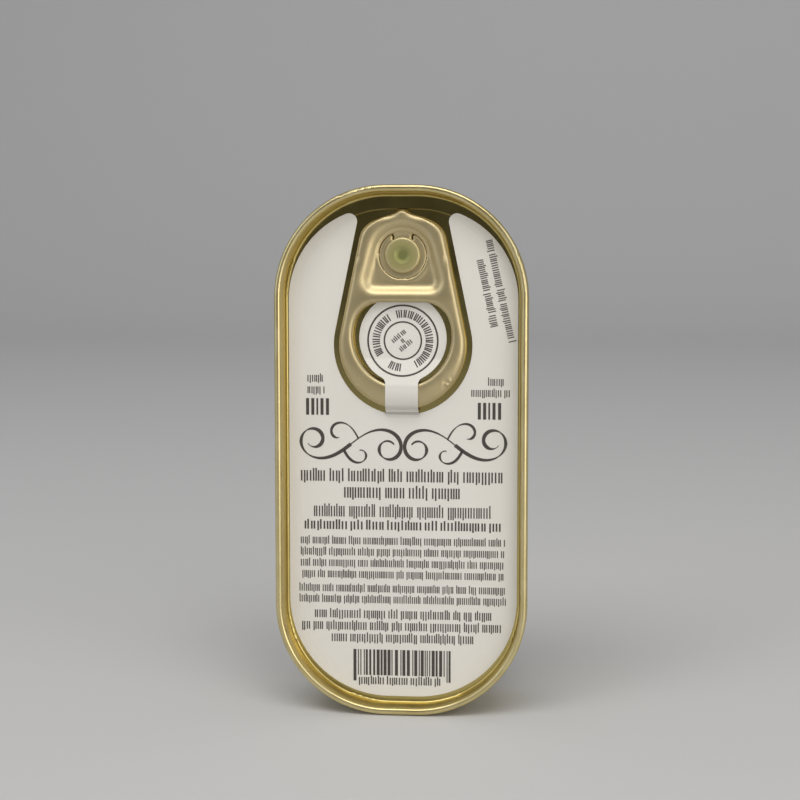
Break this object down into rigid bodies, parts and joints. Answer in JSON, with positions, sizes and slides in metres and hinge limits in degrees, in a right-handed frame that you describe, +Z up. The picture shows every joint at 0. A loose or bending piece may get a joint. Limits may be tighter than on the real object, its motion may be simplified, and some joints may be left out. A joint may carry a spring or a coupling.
{
  "type": "anchovy tin",
  "caption": "Shut rectangular tin with rounded ends: drawn can, double-seamed easy-open lid with a ring tab, and a die-cut paper label.",
  "frame": {"origin": "middle of the bounding box, at the level of the surface that the tin stands on", "axes": "+Z up along the tin's length, +X across its width, -Y out of the lid; the tin stands on its end and leans back about 4 degrees on its seam and base corner"},
  "size_m": [0.05, 0.0264, 0.1044],
  "materials": {
    "gold_lacquer": "glossy gold lacquer on tinplate",
    "tab_metal": "satin champagne lacquer",
    "label_paper": "matt coated paper"
  },
  "bodies": {
    "root": {"can_body": "gold_lacquer", "easy_open_lid": "gold_lacquer", "ring_tab": "tab_metal", "paper_label": "label_paper"}
  },
  "joints": []
}
